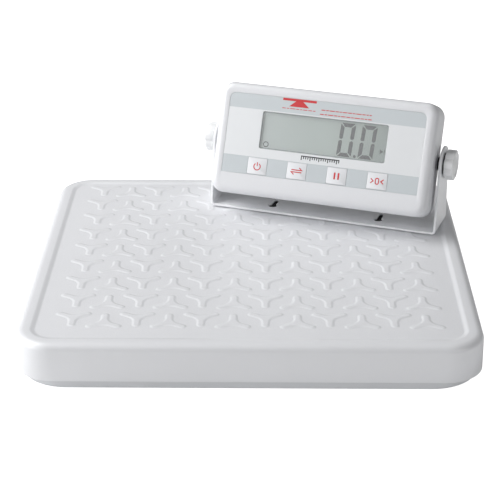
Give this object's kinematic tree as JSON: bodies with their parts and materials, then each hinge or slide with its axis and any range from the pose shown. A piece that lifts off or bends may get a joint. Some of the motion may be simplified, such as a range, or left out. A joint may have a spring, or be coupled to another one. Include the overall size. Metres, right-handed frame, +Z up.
{
  "type": "platform shipping scale",
  "caption": "Low square weighing platform with raised tread and rim on rubber feet, with a tilting LCD indicator in a U bracket clamped by side knobs.",
  "frame": {"origin": "centre of the footprint, on the surface the feet stand on", "axes": "+Z up, +Y to the rear edge behind the indicator, +X to the right as a user faces the display"},
  "size_m": [0.3506, 0.338, 0.1484],
  "materials": {
    "white_abs": "satin",
    "tray_grey": "satin",
    "inner_plastic": "matte",
    "steel": "brushed",
    "rubber": "matte",
    "white_steel": "powder coat",
    "knob_plastic": "satin",
    "black_plastic": "matte",
    "brass": "machined",
    "circuit_board": "solder mask",
    "overlay_film": "satin film",
    "lcd_clear": "clear",
    "lcd_glass": "gloss",
    "key_film": "satin film",
    "battery_jacket": "gloss"
  },
  "bodies": {
    "platform": {"platform_cover": "white_abs", "stiffener_plate": "steel", "base_tray": "tray_grey", "junction_board": "circuit_board", "cable_gland": "black_plastic", "cell_holder_front_left": "inner_plastic", "load_cell_front_left": "steel", "foot_cup_front_left": "tray_grey", "foot_pad_front_left": "rubber", "cell_holder_front_right": "inner_plastic", "load_cell_front_right": "steel", "foot_cup_front_right": "tray_grey", "foot_pad_front_right": "rubber", "cell_holder_rear_left": "inner_plastic", "load_cell_rear_left": "steel", "foot_cup_rear_left": "tray_grey", "foot_pad_rear_left": "rubber", "cell_holder_rear_right": "inner_plastic", "load_cell_rear_right": "steel", "foot_cup_rear_right": "tray_grey", "foot_pad_rear_right": "rubber", "tray_screw_1": "steel", "tray_screw_2": "steel", "tray_screw_3": "steel", "tray_screw_4": "steel"},
    "stand": {"bracket": "white_steel", "bracket_pad_left": "rubber", "bracket_pad_right": "rubber"},
    "head": {"front_bezel": "white_abs", "rear_shell": "white_abs", "face_overlay": "overlay_film", "lcd_window": "lcd_clear", "lcd_module": "lcd_glass", "main_board": "circuit_board", "battery_tray": "black_plastic", "signal_socket": "black_plastic", "power_jack": "black_plastic", "spacer_left": "black_plastic", "spacer_right": "black_plastic", "insert_left": "brass", "insert_right": "brass", "battery_1": "battery_jacket", "battery_2": "battery_jacket", "battery_3": "battery_jacket", "battery_4": "battery_jacket", "case_screw_1": "steel", "case_screw_2": "steel", "case_screw_3": "steel", "case_screw_4": "steel"},
    "battery_cover": {"battery_door": "white_abs"},
    "power_key": {"key_power": "key_film"},
    "unit_key": {"key_unit": "key_film"},
    "hold_key": {"key_hold": "key_film"},
    "tare_key": {"key_tare": "key_film"},
    "left_washer": {"washer_left": "black_plastic"},
    "left_knob": {"knob_left": "knob_plastic", "stud_left": "steel"},
    "right_washer": {"washer_right": "black_plastic"},
    "right_knob": {"knob_right": "knob_plastic", "stud_right": "steel"}
  },
  "joints": [
    {"name": "indicator_lift", "type": "slide", "parent": "platform", "child": "stand", "axis": [0, 0, 1], "range_m": [0, 0.15]},
    {"name": "head_tilt", "type": "hinge", "parent": "stand", "child": "head", "pos_m": [0.06652, 0.0917, 0.09535], "axis": [0.9461, -0.3239, 0], "range_deg": [-65, 65]},
    {"name": "battery_door_hinge", "type": "hinge", "parent": "head", "child": "battery_cover", "pos_m": [0.06998, 0.10183, 0.07147], "axis": [-0.9461, 0.3239, 0], "range_deg": [0, 70]},
    {"name": "power_key_press", "type": "slide", "parent": "head", "child": "power_key", "axis": [0.2995, 0.8747, -0.3811], "range_m": [0, 0.0004], "stiffness_N_per_m": 4000},
    {"name": "unit_key_press", "type": "slide", "parent": "head", "child": "unit_key", "axis": [0.2995, 0.8747, -0.3811], "range_m": [0, 0.0004], "stiffness_N_per_m": 4000},
    {"name": "hold_key_press", "type": "slide", "parent": "head", "child": "hold_key", "axis": [0.2995, 0.8747, -0.3811], "range_m": [0, 0.0004], "stiffness_N_per_m": 4000},
    {"name": "tare_key_press", "type": "slide", "parent": "head", "child": "tare_key", "axis": [0.2995, 0.8747, -0.3811], "range_m": [0, 0.0004], "stiffness_N_per_m": 4000},
    {"name": "left_clamp_travel", "type": "slide", "parent": "head", "child": "left_washer", "axis": [-0.9461, 0.3239, 0], "range_m": [0, 0.001]},
    {"name": "left_knob_turn", "type": "hinge", "parent": "left_washer", "child": "left_knob", "pos_m": [-0.03472, 0.12635, 0.09535], "axis": [-0.9461, 0.3239, 0], "range_deg": [0, 360]},
    {"name": "right_clamp_travel", "type": "slide", "parent": "head", "child": "right_washer", "axis": [0.9461, -0.3239, 0], "range_m": [0, 0.001]},
    {"name": "right_knob_turn", "type": "hinge", "parent": "right_washer", "child": "right_knob", "pos_m": [0.16775, 0.05704, 0.09535], "axis": [0.9461, -0.3239, 0], "range_deg": [0, 360]}
  ],
  "couplings": [
    {"joint": "left_knob_turn", "follows": "left_clamp_travel", "rad_per_m": 6283.2},
    {"joint": "right_knob_turn", "follows": "right_clamp_travel", "rad_per_m": 6283.2}
  ]
}
